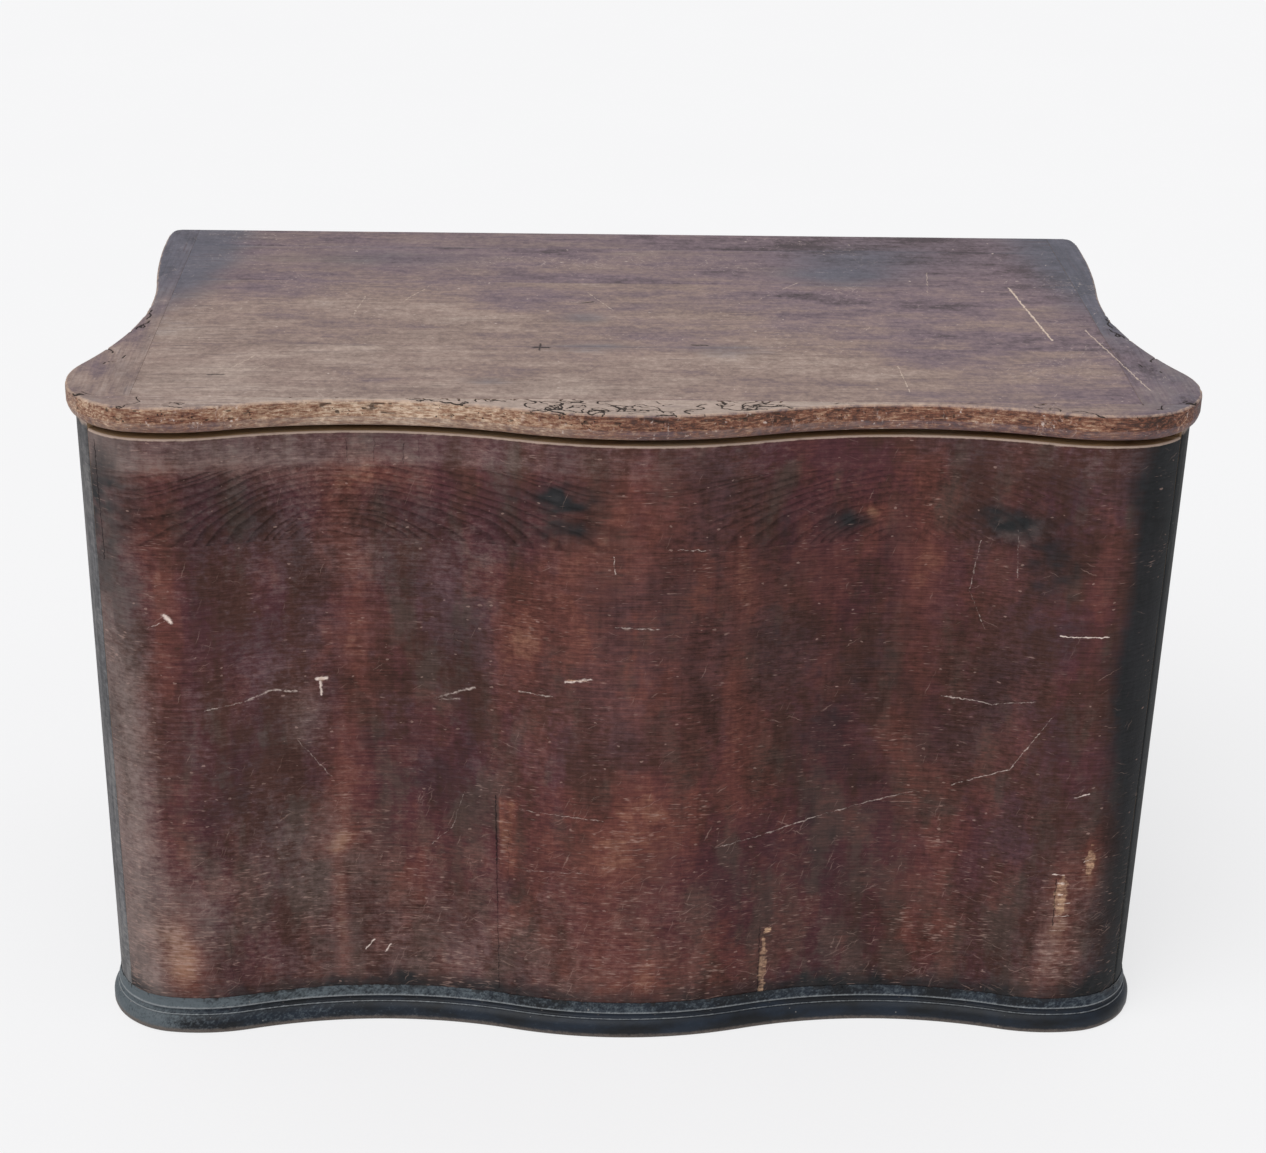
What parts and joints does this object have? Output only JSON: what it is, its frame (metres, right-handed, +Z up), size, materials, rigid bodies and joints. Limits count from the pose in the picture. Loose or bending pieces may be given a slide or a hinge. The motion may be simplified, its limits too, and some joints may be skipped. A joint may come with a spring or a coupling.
{
  "type": "pine chest",
  "caption": "Lidded pine storage chest with a serpentine front, waisted sides, a moulded lid on strap hinges and a low base moulding.",
  "frame": {"origin": "on the floor, under the middle of the whole chest with its hinges", "axes": "+X to the right seen from the front, +Y from the front to the back, +Z up"},
  "size_m": [1.1444, 0.5934, 0.735],
  "materials": {
    "stained_front": "worn red-brown stain over pine, scratched, rubbed lighter in upright bands",
    "darkened_side": "blue-black stain over pine, dull and scuffed",
    "back_pine": "sawn and dusty, unstained",
    "bare_pine": "planed, unfinished and aged",
    "ebonised_moulding": "worn blue-black paint, rubbed to bare wood on its edges",
    "weathered_lid": "weathered and scratched, stain worn off, with worm tracks along the front",
    "wrought_iron": "forged, dark with a little rust"
  },
  "bodies": {
    "chest": {"front_board_1": "stained_front", "front_board_2": "stained_front", "front_board_3": "stained_front", "front_board_4": "stained_front", "front_board_5": "stained_front", "left_stave_1": "darkened_side", "left_stave_2": "darkened_side", "left_stave_3": "darkened_side", "left_stave_4": "darkened_side", "left_stave_5": "darkened_side", "left_stave_6": "darkened_side", "right_stave_1": "darkened_side", "right_stave_2": "darkened_side", "right_stave_3": "darkened_side", "right_stave_4": "darkened_side", "right_stave_5": "darkened_side", "right_stave_6": "darkened_side", "back_board_1": "back_pine", "back_board_2": "back_pine", "back_board_3": "back_pine", "back_board_4": "back_pine", "bottom_board_1": "bare_pine", "bottom_board_2": "bare_pine", "bottom_board_3": "bare_pine", "bottom_board_4": "bare_pine", "floor_runner_left": "bare_pine", "floor_runner_centre": "bare_pine", "floor_runner_right": "bare_pine", "plinth_front": "ebonised_moulding", "plinth_left": "ebonised_moulding", "plinth_right": "ebonised_moulding", "plinth_glue_blocks": "bare_pine", "corner_post_left": "bare_pine", "corner_post_right": "bare_pine", "hinge_leaf_left": "wrought_iron", "hinge_leaf_right": "wrought_iron", "hinge_pin_left": "wrought_iron", "hinge_pin_right": "wrought_iron", "bottom_nails": "wrought_iron", "back_nails": "wrought_iron", "runner_nails": "wrought_iron", "hinge_leaf_nails": "wrought_iron", "plinth_brads": "wrought_iron"},
    "lid": {"lid_front_strip": "weathered_lid", "lid_end_strip_left": "weathered_lid", "lid_end_strip_right": "weathered_lid", "lid_plank_1": "weathered_lid", "lid_plank_2": "weathered_lid", "lid_plank_3": "weathered_lid", "lid_plank_4": "weathered_lid", "lid_batten_left": "bare_pine", "lid_batten_right": "bare_pine", "hinge_strap_left": "wrought_iron", "hinge_strap_right": "wrought_iron", "hinge_strap_nails": "wrought_iron", "batten_nails": "wrought_iron"}
  },
  "joints": [
    {"name": "lid_hinge", "type": "hinge", "parent": "chest", "child": "lid", "pos_m": [0, 0.29015, 0.702], "axis": [-1, 0, 0], "range_deg": [0, 100]}
  ]
}
